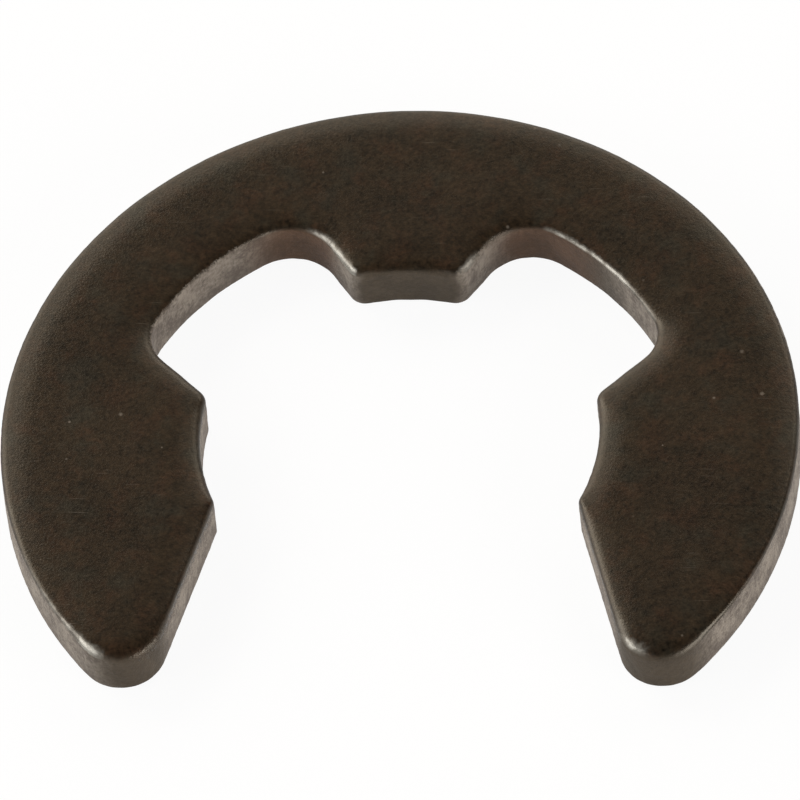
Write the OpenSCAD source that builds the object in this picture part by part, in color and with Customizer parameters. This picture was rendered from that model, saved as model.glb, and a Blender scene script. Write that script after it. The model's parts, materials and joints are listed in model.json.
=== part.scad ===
// Open retaining ring, E type, for a groove in a shaft.
// One flat stamping in spring steel. Its outline is true arcs and straight flanks joined by tangent fillets.
// Every edge has the stamped section: a rolled upper edge, a straight sheared wall and a broken lower edge.
// Millimetres. The origin is on the shaft's axis, in the plane of the lower face. The mouth opens along -Y.

/* [Ring] */
// Outside diameter
outer_d = 12; // [10:0.1:14.4]
// Diameter of the circle that the tips of the prongs grip
bore_d = 6; // [5:0.1:7.2]
// Diameter of the circle that the two pockets are cut back to
relief_d = 8.55; // [7.1:0.05:10.3]
// Thickness of the sheet
thickness = 0.85; // [0.6:0.05:1.2]

/* [Middle prong] */
// Width of the prong at its tip, between the corners before they are rounded
prong_tip_w = 1.6; // [1.3:0.05:2.3]
// Lean of each flank of the prong away from the middle line, in degrees
prong_flare = 34; // [24:1:42]

/* [Side prongs] */
// Width of the mouth at its narrowest, between the corners before they are rounded
mouth_w = 5.45; // [4.5:0.05:5.7]
// Flare of each side of the mouth away from the middle line, in degrees
mouth_flare = 16; // [10:1:22]
// Top end of each side grip, in degrees above the cross line of the bore
grip_top = 13.3; // [5:0.1:22]
// Slope of the shoulder that runs from each side grip out into its pocket, in degrees
shoulder_slope = 44; // [34:1:54]

/* [Corners] */
// Radius of the two corners of the middle prong
prong_corner_r = 0.25; // [0.16:0.01:0.4]
// Radius of the fillet where the middle prong meets the band
prong_root_r = 0.77; // [0.5:0.01:0.9]
// Radius of the fillet where each shoulder meets the band
shoulder_root_r = 0.58; // [0.3:0.01:0.75]
// Radius of the upper corner of each side grip
grip_corner_r = 0.25; // [0.16:0.01:0.4]
// Radius of the corner between each side grip and the mouth
mouth_corner_r = 0.16; // [0.15:0.01:0.4]
// Radius of the rounded end of each arm
arm_end_r = 0.67; // [0.3:0.01:0.9]

/* [Edges] */
// Radius of the rolled upper edge
edge_roll = 0.12; // [0.05:0.01:0.14]
// Radius of the broken lower edge
edge_break = 0.05; // [0.02:0.01:0.1]

/* [Hidden] */
$fn = 96;

// The ring is worked out in metres and brought up to millimetres at the end. Its neighbouring pieces of rim
// share their end faces, and in metres those agree to the last figure.
MM = 0.001;

outer_r = outer_d / 2 * MM;
bore_r = bore_d / 2 * MM;
relief_r = relief_d / 2 * MM;
sheet = thickness * MM;
roll = edge_roll * MM;
broken = edge_break * MM;
pocket_depth = relief_r - bore_r;

// Fillets in the pockets are held to what the depth of the pocket has room for
root_limit = 0.62 * pocket_depth;
corner_limit = 0.24 * pocket_depth;

// The rim is a strip this wide along the outline, and the web fills what lies inside it
rim_w = 0.3 * MM;
// The web's own outline runs this far inside the ring's outline, under the strip
web_inset = 0.2 * MM;
// The web's outline leaves its true curve by no more than this, which keeps it under the strip
web_slack = 0.05 * MM;

// Direction of travel along the outline has the metal on its left, so a left turn is an outer corner
LEFT = 1;
RIGHT = -1;
// A flank either leaves the middle of the ring or comes in towards it
OUTWARD = 1;
INWARD = -1;

function unit(a) = [cos(a), sin(a)];
function angle_of(v) = atan2(v[1], v[0]);
function flipped(p) = [-p[0], p[1]];

// A flank is a straight line: a point on it, its direction in degrees, and whether it runs outward or inward
prong_flank = [bore_r * unit(acos(prong_tip_w / bore_d)), 90 - prong_flare, OUTWARD];
shoulder = [bore_r * unit(grip_top), 180 + shoulder_slope, INWARD];
mouth_side = [bore_r * unit(-acos(mouth_w / bore_d)), mouth_flare - 90, OUTWARD];

// Centre of a fillet of radius r between a flank and a circle about the origin of radius circle_r, which
// is travelled in the direction circle_turn. Both are moved sideways by r, and meet at the centre.
function fillet_centre(flank, circle_r, circle_turn, r, turn) =
    let (u = unit(flank[1]))
    let (p = flank[0] + turn * r * unit(flank[1] + 90))
    let (moved_r = circle_r - circle_turn * turn * r)
    let (along = -p * u)
    let (half_chord = sqrt(moved_r ^ 2 - (p * p - along ^ 2)))
    p + (along + flank[2] * half_chord) * u;

// A corner: the fillet's centre, its radius, its turn, and where it touches the flank and the circle
function corner(flank, circle_r, circle_turn, r, turn) =
    let (c = fillet_centre(flank, circle_r, circle_turn, r, turn))
    let (u = unit(flank[1]))
    let (on_flank = flank[0] + ((c - flank[0]) * u) * u)
    [c, r, turn, on_flank, circle_r * c / norm(c)];

// An arc of the outline: centre, radius, first angle and sweep, which is positive on a left turn
function arc(c, r, turn, from, to) =
    let (first = angle_of(from - c))
    let (last = angle_of(to - c))
    [c, r, first, turn == LEFT ? (last - first + 720) % 360 : -((first - last + 720) % 360)];
function fillet_in(k) = arc(k[0], k[1], k[2], k[4], k[3]);
function fillet_out(k) = arc(k[0], k[1], k[2], k[3], k[4]);
function circle_arc(r, turn, from, to) = arc([0, 0], r, turn, from, to);

prong_corner = corner(prong_flank, bore_r, RIGHT, min(prong_corner_r * MM, corner_limit), LEFT);
prong_root = corner(prong_flank, relief_r, RIGHT, min(prong_root_r * MM, root_limit), RIGHT);
shoulder_root = corner(shoulder, relief_r, RIGHT, min(shoulder_root_r * MM, root_limit), RIGHT);
grip_corner = corner(shoulder, bore_r, RIGHT, min(grip_corner_r * MM, corner_limit), LEFT);
mouth_corner = corner(mouth_side, bore_r, RIGHT, mouth_corner_r * MM, LEFT);
arm_end = corner(mouth_side, outer_r, LEFT, arm_end_r * MM, LEFT);

// The outline runs over the prong's tip, down the right side, round the back and up the left side
tip_arc = circle_arc(bore_r, RIGHT, flipped(prong_corner[4]), prong_corner[4]);
back_arc = circle_arc(outer_r, LEFT, arm_end[4], flipped(arm_end[4]));
side_arcs = [
    fillet_in(prong_corner),
    fillet_out(prong_root),
    circle_arc(relief_r, RIGHT, prong_root[4], shoulder_root[4]),
    fillet_in(shoulder_root),
    fillet_out(grip_corner),
    circle_arc(bore_r, RIGHT, grip_corner[4], mouth_corner[4]),
    fillet_in(mouth_corner),
    fillet_out(arm_end),
];
side_flanks = [
    [prong_corner[3], prong_root[3]],
    [shoulder_root[3], grip_corner[3]],
    [mouth_corner[3], arm_end[3]],
];

// Points in the middle of equal steps along one arc, at web_inset inside the outline. On an outer corner tighter
// than that, r is negative and the one point lies just past the corner's centre.
function inset_arc(a) =
    let (r = a[3] > 0 ? a[1] - web_inset : a[1] + web_inset)
    let (steps = ceil(abs(a[3]) / (2 * acos(1 - min(web_slack / abs(r), 1)))))
    [for (i = [0:steps - 1]) a[0] + r * unit(a[2] + a[3] * (i + 0.5) / steps)];

side_web = [for (a = side_arcs) each inset_arc(a)];
web_outline = concat(
    inset_arc(tip_arc),
    side_web,
    inset_arc(back_arc),
    [for (i = [len(side_web) - 1:-1:0]) flipped(side_web[i])]
);

// A quarter disc in the corner of the section, its centre at the origin and its arc towards -X and the given side
module quarter(r, up) {
    intersection() {
        circle(r = r);
        translate([-2 * r, up ? 0 : -2 * r])
            square(2 * r);
    }
}

// Section of the rim, drawn from the wall at x = 0 into the metal: broken edge, wall, rolled edge
module rim_section(depth) {
    translate([broken, 0])
        square([depth - broken, broken]);
    translate([broken, broken])
        quarter(broken, up = false);
    translate([0, broken])
        square([depth, sheet - broken - roll]);
    translate([roll, sheet - roll])
        square([depth - roll, roll]);
    translate([roll, sheet - roll])
        quarter(roll, up = true);
}

// The section carried round one arc, outward from its centre on an inner corner and inward on an outer one
module arc_rim(a) {
    c = a[0];
    r = a[1];
    is_outer = a[3] > 0;
    translate([c[0], c[1], 0])
        rotate([0, 0, min(a[2], a[2] + a[3])])
            rotate_extrude(angle = abs(a[3]))
                translate([r, 0])
                    mirror([is_outer ? 1 : 0, 0])
                        rim_section(is_outer ? min(rim_w, r) : rim_w);
}

// The section carried along one straight flank
module flank_rim(ends) {
    run = ends[1] - ends[0];
    translate([ends[0][0], ends[0][1], 0])
        rotate([90, 0, angle_of(run) + 90])
            linear_extrude(norm(run))
                rim_section(rim_w);
}

module side_rim() {
    for (a = side_arcs)
        arc_rim(a);
    for (ends = side_flanks)
        flank_rim(ends);
}

module rim() {
    arc_rim(tip_arc);
    arc_rim(back_arc);
    side_rim();
    mirror([1, 0, 0])
        side_rim();
}

module web() {
    linear_extrude(sheet)
        polygon(web_outline);
}

module retaining_ring() {
    color("#3a3128")
        scale(1 / MM) {
            web();
            rim();
        }
}

retaining_ring();
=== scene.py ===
"""Looks of an open retaining ring, E type: a stamped spring-steel clip with a dark brown phosphate coat.

The ring is one closed skin. A section runs round one arm, from its lower edge up the sheared wall, over the
rolled edge, across the face and down the other side, and it is carried from the end of the right arm round
the back to the end of the left arm. Everything is in metres, in the part's own frame: the origin is on the
shaft's axis in the plane of the lower face, the mouth opens along -Y and the rolled edges are up.
"""

import json
import logging
import math
from collections.abc import Callable
from dataclasses import dataclass, field
from enum import Enum

import bmesh
import bpy
import numpy as np
from mathutils import Matrix, Vector


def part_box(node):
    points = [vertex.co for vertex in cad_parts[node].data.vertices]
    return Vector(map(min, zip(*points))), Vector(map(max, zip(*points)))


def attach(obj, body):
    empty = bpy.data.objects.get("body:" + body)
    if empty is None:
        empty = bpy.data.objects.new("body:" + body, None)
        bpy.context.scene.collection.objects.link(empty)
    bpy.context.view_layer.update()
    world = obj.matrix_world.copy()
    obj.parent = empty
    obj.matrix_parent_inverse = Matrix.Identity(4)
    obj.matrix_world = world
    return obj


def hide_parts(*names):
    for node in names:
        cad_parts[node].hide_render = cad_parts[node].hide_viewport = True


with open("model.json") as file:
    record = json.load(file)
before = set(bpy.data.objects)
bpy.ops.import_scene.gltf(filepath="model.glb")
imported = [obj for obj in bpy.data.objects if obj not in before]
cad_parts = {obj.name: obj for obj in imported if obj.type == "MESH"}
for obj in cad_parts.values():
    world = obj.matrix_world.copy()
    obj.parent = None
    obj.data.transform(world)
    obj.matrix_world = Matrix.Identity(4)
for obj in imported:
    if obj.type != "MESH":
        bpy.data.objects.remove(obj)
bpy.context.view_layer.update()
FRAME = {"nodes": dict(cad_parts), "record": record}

MM = 0.001
WELD = 0.0001 * MM
NODE = "retaining_ring"
SLOT = "phosphated_steel"
LOG = logging.getLogger("retaining_ring")


class Turn(Enum):
    """Which way a stretch of the outline bends, with the metal on its left."""

    LEFT = 1
    RIGHT = -1


@dataclass(frozen=True)
class RingSizes:
    """Sizes of the ring's outline in metres, and its angles in degrees.

    The outside radius and the sheet come from the frame's box, and the bore from the mount on the shaft.
    """

    outer_r: float
    bore_r: float
    sheet: float
    relief_r: float = 4.275 * MM
    prong_tip_w: float = 1.6 * MM
    prong_flare: float = 34.0
    mouth_w: float = 5.45 * MM
    mouth_flare: float = 16.0
    grip_top: float = 13.3
    shoulder_slope: float = 44.0
    prong_corner_r: float = 0.25 * MM
    prong_root_r: float = 0.77 * MM
    shoulder_root_r: float = 0.58 * MM
    grip_corner_r: float = 0.25 * MM
    mouth_corner_r: float = 0.16 * MM
    arm_end_r: float = 0.67 * MM

    @classmethod
    def from_frame(cls) -> "RingSizes":
        """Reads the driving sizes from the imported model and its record.

        Returns:
            The ring's sizes.
        """
        low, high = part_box(NODE)
        grip = next(m for m in FRAME["record"]["mounts"] if m["name"] == "groove_grip")
        return cls(outer_r=high.y, bore_r=grip["dims"]["r_mm"] * MM, sheet=high.z - low.z)


@dataclass(frozen=True)
class Flank:
    """A straight stretch of the outline: a point on it in metres and its heading in degrees."""

    point: np.ndarray
    heading: float

    def fillet_centre(
        self, circle_r: float, circle_turn: Turn, r: float, turn: Turn, outward: bool
    ) -> np.ndarray:
        """Finds the centre of the fillet that touches this flank and a circle about the origin.

        Both are moved sideways by the fillet's radius, and the centre is where they then meet.

        Args:
            circle_r: Radius of the circle.
            circle_turn: The way the outline bends as it follows the circle.
            r: Radius of the fillet.
            turn: The way the fillet bends.
            outward: Whether the flank runs away from the origin.

        Returns:
            The centre.
        """
        along = heading_vector(self.heading)
        moved = self.point + turn.value * r * heading_vector(self.heading + 90)
        moved_r = circle_r - circle_turn.value * turn.value * r
        half_way = -moved @ along
        half_chord = math.sqrt(moved_r**2 - (moved @ moved - half_way**2))
        return moved + (half_way + (half_chord if outward else -half_chord)) * along

    def touch(self, centre: np.ndarray) -> float:
        """Returns how far along the flank a fillet with this centre touches it."""
        return float((centre - self.point) @ heading_vector(self.heading))


def heading_vector(degrees: float) -> np.ndarray:
    """Returns the unit vector of a heading in degrees."""
    a = math.radians(degrees)
    return np.array([math.cos(a), math.sin(a)])


def polar(point: np.ndarray) -> float:
    """Returns the angle of a point about the origin, in degrees."""
    return math.degrees(math.atan2(point[1], point[0]))


def smooth_step(x: np.ndarray, low: float = 0.0, high: float = 1.0) -> np.ndarray:
    """Rises from 0 at low to 1 at high as 3t^2 - 2t^3."""
    t = np.clip((x - low) / (high - low), 0.0, 1.0)
    return t * t * (3.0 - 2.0 * t)


def put_in_scene(name: str, data: bpy.types.ID) -> bpy.types.Object:
    """Makes an object of a mesh, a lamp or a camera, in the scene.

    Args:
        name: The object's name.
        data: What it shows.

    Returns:
        The object.
    """
    made = bpy.data.objects.new(name, data)
    bpy.context.scene.collection.objects.link(made)
    return made


@dataclass(frozen=True)
class Run:
    """A stretch of the outline with one curvature: its name, its signed curvature and its length."""

    name: str
    curvature: float
    length: float

    @classmethod
    def bend(cls, name: str, radius: float, sweep: float) -> "Run":
        """Returns an arc with its signed sweep in degrees."""
        return cls(name, math.copysign(1 / radius, sweep), radius * math.radians(abs(sweep)))

    @classmethod
    def straight(cls, name: str, flank: Flank, start: np.ndarray, end: np.ndarray) -> "Run":
        """Returns the stretch of a flank between two fillets, which have these centres."""
        return cls(name, 0.0, flank.touch(end) - flank.touch(start))


class HalfOutline:
    """The right half of the ring's outline, from the middle of the prong's tip to the middle of the back.

    It is a chain of runs, each with one curvature, and each starts where the last one ends and in its
    direction. A run from p with heading h and curvature k is at p + t sinc(k t / 2) (cos, sin)(h + k t / 2)
    after t.
    """

    def __init__(self, sizes: RingSizes) -> None:
        """Chains up the runs.

        Args:
            sizes: The ring's sizes.
        """
        runs = self._runs(sizes)
        self.names = [run.name for run in runs]
        self.curvature = np.array([run.curvature for run in runs])
        self.length = np.array([run.length for run in runs])
        self.start = np.concatenate([[0.0], np.cumsum(self.length)])
        self.heading = np.concatenate([[0.0], np.cumsum(self.curvature * self.length)])
        corners = [np.array([0.0, sizes.bore_r])]
        for k in range(len(runs)):
            corners.append(corners[k] + self._travel(self.length[k], self.curvature[k], self.heading[k]))
        self.corners = np.array(corners)

    @staticmethod
    def _runs(s: RingSizes) -> list[Run]:
        """Works out every run's length and curvature.

        Args:
            s: The ring's sizes.

        Returns:
            The runs in order, from the prong's tip.
        """
        tip_edge = s.bore_r * heading_vector(math.degrees(math.acos(s.prong_tip_w / 2 / s.bore_r)))
        mouth_edge = s.bore_r * heading_vector(-math.degrees(math.acos(s.mouth_w / 2 / s.bore_r)))
        prong_flank = Flank(tip_edge, 90 - s.prong_flare)
        shoulder = Flank(s.bore_r * heading_vector(s.grip_top), s.shoulder_slope - 180)
        mouth_side = Flank(mouth_edge, s.mouth_flare - 90)
        right, left = Turn.RIGHT, Turn.LEFT
        prong_corner = prong_flank.fillet_centre(s.bore_r, right, s.prong_corner_r, left, True)
        prong_root = prong_flank.fillet_centre(s.relief_r, right, s.prong_root_r, right, True)
        shoulder_root = shoulder.fillet_centre(s.relief_r, right, s.shoulder_root_r, right, False)
        grip_corner = shoulder.fillet_centre(s.bore_r, right, s.grip_corner_r, left, False)
        mouth_corner = mouth_side.fillet_centre(s.bore_r, right, s.mouth_corner_r, left, True)
        arm_end = mouth_side.fillet_centre(s.outer_r, left, s.arm_end_r, left, True)
        return [
            Run.bend("tip", s.bore_r, polar(prong_corner) - 90),
            Run.bend("prong_corner", s.prong_corner_r, prong_flank.heading + 90 - polar(prong_corner)),
            Run.straight("prong_flank", prong_flank, prong_corner, prong_root),
            Run.bend("prong_root", s.prong_root_r, polar(prong_root) - 90 - prong_flank.heading),
            Run.bend("relief", s.relief_r, polar(shoulder_root) - polar(prong_root)),
            Run.bend("shoulder_root", s.shoulder_root_r, shoulder.heading + 90 - polar(shoulder_root)),
            Run.straight("shoulder", shoulder, shoulder_root, grip_corner),
            Run.bend("grip_corner", s.grip_corner_r, polar(grip_corner) - 90 - shoulder.heading),
            Run.bend("grip", s.bore_r, polar(mouth_corner) - polar(grip_corner)),
            Run.bend("mouth_corner", s.mouth_corner_r, mouth_side.heading + 90 - polar(mouth_corner)),
            Run.straight("mouth_side", mouth_side, mouth_corner, arm_end),
            Run.bend("arm_end", s.arm_end_r, polar(arm_end) + 90 - mouth_side.heading),
            Run.bend("back", s.outer_r, 90 - polar(arm_end)),
        ]

    @staticmethod
    def _travel(t: np.ndarray, curvature: np.ndarray, heading: np.ndarray) -> np.ndarray:
        """Works out the step made along each run.

        Args:
            t: The lengths travelled.
            curvature: The runs' curvatures.
            heading: Their first headings.

        Returns:
            The steps in plan.
        """
        middle = heading + curvature * t / 2
        reach = t * np.sinc(curvature * t / (2 * math.pi))
        return np.stack([reach * np.cos(middle), reach * np.sin(middle)], axis=-1)

    def run_start(self, name: str) -> float:
        """Returns the distance along the half outline at which a run starts."""
        return float(self.start[self.names.index(name)])

    def run_middle(self, name: str) -> float:
        """Returns the distance along the half outline at the middle of a run."""
        return self.run_start(name) + float(self.length[self.names.index(name)]) / 2

    @property
    def total(self) -> float:
        """The half outline's whole length."""
        return float(self.start[-1])

    def at(self, s: np.ndarray) -> tuple[np.ndarray, np.ndarray, np.ndarray]:
        """Gives points of the outline.

        Args:
            s: Distances along the half outline.

        Returns:
            The points, their outward unit normals and their curvatures.
        """
        k = np.clip(np.searchsorted(self.start, s, side="right") - 1, 0, len(self.length) - 1)
        t = s - self.start[k]
        points = self.corners[k] + self._travel(t, self.curvature[k], self.heading[k])
        heading = self.heading[k] + self.curvature[k] * t
        return points, np.stack([np.sin(heading), -np.cos(heading)], axis=-1), self.curvature[k]


@dataclass(frozen=True)
class Stations:
    """Pairs of points on the two edges of the ring, between which its section lies.

    The inner edge runs from the end of the arm to the middle of the prong's tip, and the outer edge from the
    end of the arm to the middle of the back. Where a run of the inner edge starts, the outer edge is at a set
    polar angle, so that the section crosses the metal squarely and no two sections cross.
    """

    outline: HalfOutline
    spacing: float = 0.036 * MM
    outer_spacing: float = 0.06 * MM
    turn_per_step: float = math.radians(5.5)
    outer_angles: tuple[tuple[str, float], ...] = (
        ("arm_end", -40.5),
        ("mouth_side", -13.0),
        ("mouth_corner", -11.5),
        ("grip", 10.0),
        ("grip_corner", 12.5),
        ("shoulder", 20.0),
        ("shoulder_root", 27.0),
        ("relief", 63.0),
        ("prong_root", 77.5),
        ("prong_flank", 81.0),
        ("prong_corner", 83.0),
        ("tip", 90.0),
    )

    def distances(self) -> tuple[np.ndarray, np.ndarray]:
        """Pairs the edges.

        Returns:
            Distances along the half outline of the inner and of the outer points, from the end of the arm.
        """
        line = self.outline
        split = line.run_middle("arm_end")
        back = line.run_start("back")
        back_r = 1 / line.curvature[-1]
        first_angle = polar(line.corners[-2])
        inner, outer = [np.array([split])], [np.array([split])]
        for name, angle in self.outer_angles:
            k = line.names.index(name)
            inner_from, inner_to = inner[-1][-1], line.start[k]
            outer_from, outer_to = outer[-1][-1], back + back_r * math.radians(angle - first_angle)
            turned = abs(line.curvature[k]) * (inner_from - inner_to)
            steps = math.ceil(
                max(
                    (inner_from - inner_to) / self.spacing,
                    (outer_to - outer_from) / self.outer_spacing,
                    turned / self.turn_per_step,
                )
            )
            share = np.arange(1, steps + 1) / steps
            inner.append(inner_from + share * (inner_to - inner_from))
            outer.append(outer_from + share * (outer_to - outer_from))
        return np.concatenate(inner), np.concatenate(outer)


@dataclass(frozen=True)
class Waves:
    """A smooth uneven field, about -1 to 1: many sine waves in seeded random directions, added up."""

    seed: int
    shortest: float
    longest: float
    count: int = 36

    def at(self, points: np.ndarray) -> np.ndarray:
        """Gives the field at points.

        Args:
            points: Places in metres, with their last axis X, Y and Z.

        Returns:
            The field's value at each.
        """
        draw = np.random.default_rng(self.seed)
        direction = draw.normal(size=(self.count, 3))
        direction /= np.linalg.norm(direction, axis=1, keepdims=True)
        wavelength = np.exp(draw.uniform(math.log(self.shortest), math.log(self.longest), self.count))
        phase = draw.uniform(0, 2 * math.pi, self.count)
        angle = points @ (direction * (2 * math.pi / wavelength)[:, None]).T + phase
        return np.sin(angle).sum(axis=-1) / math.sqrt(self.count)


@dataclass(frozen=True)
class StampedEdge:
    """Sizes of the edge that the punch and the die leave, in metres.

    The upper edge is rolled: a roll that meets the wall, and a wide soft fall of the face towards it. The
    roll is roll_r high and a stretch times as wide. Each gain is the share by which it grows: on the inner
    edge, at the middle prong, at the ends of the arms and, for each 1/mm of curvature up to the sharpest
    turn, on an outer corner. The wall is straight and a little rough where it was sheared, and set back
    where it broke. A pair of limits is the share at which something starts and the one at which it is whole.
    """

    roll_r: float = 0.068 * MM
    inner_gain: float = 0.20
    prong_gain: float = 0.40
    arm_end_gain: float = 0.40
    gain_fade: float = 0.5 * MM
    back_fade: float = 1.2 * MM
    outer_stretch: float = 1.65
    inner_stretch: float = 2.1
    roll_power: float = 3.0
    roll_unevenness: float = 0.06
    roll_waves: Waves = Waves(5, 0.5 * MM, 1.8 * MM)
    corner_gain: float = 0.6
    sharpest_turn: float = 2.0
    corner_limit: float = 0.62
    corner_slope: float = 0.3
    corner_reach: float = 0.42 * MM
    smoothing_share: float = 0.15
    fall: float = 0.045 * MM
    fall_width: float = 0.85 * MM
    fall_power: float = 2.6
    fall_limits: tuple[float, float] = (0.1, 0.85)
    softening: float = 0.07 * MM
    rim_width: float = 0.45 * MM
    break_r: float = 0.022 * MM
    break_unevenness: float = 0.35
    break_waves: Waves = Waves(3, 0.25 * MM, 1.6 * MM)
    fracture_share: float = 0.32
    fracture_raggedness: float = 0.45
    fracture_limits: tuple[float, float] = (0.6, 1.15)
    fracture_waves: Waves = Waves(7, 0.15 * MM, 1.1 * MM)
    fracture_setback: float = 0.004 * MM
    wall_roughness: float = 0.004 * MM
    wall_waves: Waves = Waves(11, 0.1 * MM, 0.5 * MM)
    roll_steps: int = 11
    wall_steps: int = 12
    break_steps: int = 3


@dataclass
class Skin:
    """Rows of points over the ring's surface, with masks from 0 to 1 for its finish.

    The last mask, how near the edge is, is only worked out once the skin is whole.
    """

    place: np.ndarray
    lean: np.ndarray
    fracture: np.ndarray
    rim: np.ndarray | None = None

    def changed(self, change: Callable[[np.ndarray], np.ndarray]) -> "Skin":
        """Returns the skin with one change made to its places and to each mask."""
        return Skin(change(self.place), change(self.lean), change(self.fracture))

    @staticmethod
    def ruled(start: "Skin", end: "Skin", share: np.ndarray) -> "Skin":
        """Lays columns between two others.

        Args:
            start: The first column, which isn't repeated.
            end: The last column, which isn't repeated either.
            share: How far along the straight line between them each new one lies.

        Returns:
            The columns.
        """
        near, far = (1 - share)[None, :], share[None, :]
        return Skin(
            start.place * near[..., None] + end.place * far[..., None],
            start.lean * near + end.lean * far,
            start.fracture * near + end.fracture * far,
        )

    @staticmethod
    def joined(parts: list["Skin"], axis: int) -> "Skin":
        """Returns parts set side by side along an axis."""
        sets = zip(*((part.place, part.lean, part.fracture) for part in parts))
        return Skin(*(np.concatenate(rows, axis=axis) for rows in sets))


class RimRadius:
    """Height and width of the roll along the outline, larger where one of the edge's gains holds."""

    def __init__(self, outline: HalfOutline, edge: StampedEdge, samples: int = 4000) -> None:
        """Works out the roll at even steps along the half outline.

        The curvature is smoothed over the corner's reach before the roll grows with it, and the roll is
        smoothed over a share of that reach.

        Args:
            outline: The half outline.
            edge: The edge's sizes.
            samples: How many steps.
        """
        self.edge = edge
        self.s = np.linspace(0, outline.total, samples)
        curvature = outline.at(self.s)[2]
        self.limit = self._limit(curvature)
        end, back = outline.run_start("arm_end"), outline.run_start("back")
        inside = 1 - smooth_step(self.s, outline.run_middle("arm_end"), back + edge.gain_fade)
        prong = 1 - smooth_step(self.s, outline.run_start("prong_root"), outline.run_start("relief"))
        arm_end = smooth_step(self.s, end - edge.gain_fade, end)
        arm_end *= 1 - smooth_step(self.s, back, back + edge.back_fade)
        turning = np.clip(self._smoothed(curvature, edge.corner_reach) * MM, 0, edge.sharpest_turn)
        local = edge.prong_gain * prong + edge.arm_end_gain * arm_end
        grown = edge.roll_r * (1 + edge.inner_gain * inside + local + edge.corner_gain * turning)
        stretch = edge.outer_stretch + (edge.inner_stretch - edge.outer_stretch) * inside
        reach = edge.smoothing_share * edge.corner_reach
        self.height = self._smoothed(np.minimum(grown, self.limit), reach)
        self.width = self._smoothed(np.minimum(grown * stretch, self.limit), reach)

    def _limit(self, curvature: np.ndarray) -> np.ndarray:
        """Works out the most that the roll may be.

        On an outer corner it is a share of the corner's own radius. From there the limit rises with the
        distance along the outline, because beside a corner the two sides' rolls would meet at a larger one.

        Args:
            curvature: The outline's curvature at each sample.

        Returns:
            The limit at each sample.
        """
        limit = np.where(curvature > 0, self.edge.corner_limit / np.maximum(curvature, 1), 1.0)
        rise = self.edge.corner_slope * self.s
        limit = np.minimum.accumulate(limit - rise) + rise
        return (np.minimum.accumulate((limit + rise)[::-1]) - rise[::-1])[::-1]

    def _smoothed(self, values: np.ndarray, reach: float) -> np.ndarray:
        """Averages values along the outline under a bell curve.

        Args:
            values: A value at each sample.
            reach: The bell curve's deviation.

        Returns:
            The mean at each sample.
        """
        step = self.s[1] - self.s[0]
        side = math.ceil(3 * reach / step)
        bell = np.exp(-0.5 * (np.arange(-side, side + 1) * step / reach) ** 2)
        return np.convolve(np.pad(values, side, mode="reflect"), bell / bell.sum(), mode="valid")

    def at(self, s: np.ndarray, unevenness: np.ndarray) -> tuple[np.ndarray, np.ndarray]:
        """Gives the roll at distances along the half outline.

        Args:
            s: The distances.
            unevenness: How much larger or smaller the roll is at each, as a share.

        Returns:
            Its height and its width, which never pass the limit.
        """
        limit = np.interp(s, self.s, self.limit)
        height = np.interp(s, self.s, self.height) * (1 + unevenness)
        width = np.interp(s, self.s, self.width) * (1 + unevenness)
        return np.minimum(height, limit), np.minimum(width, limit)


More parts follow.
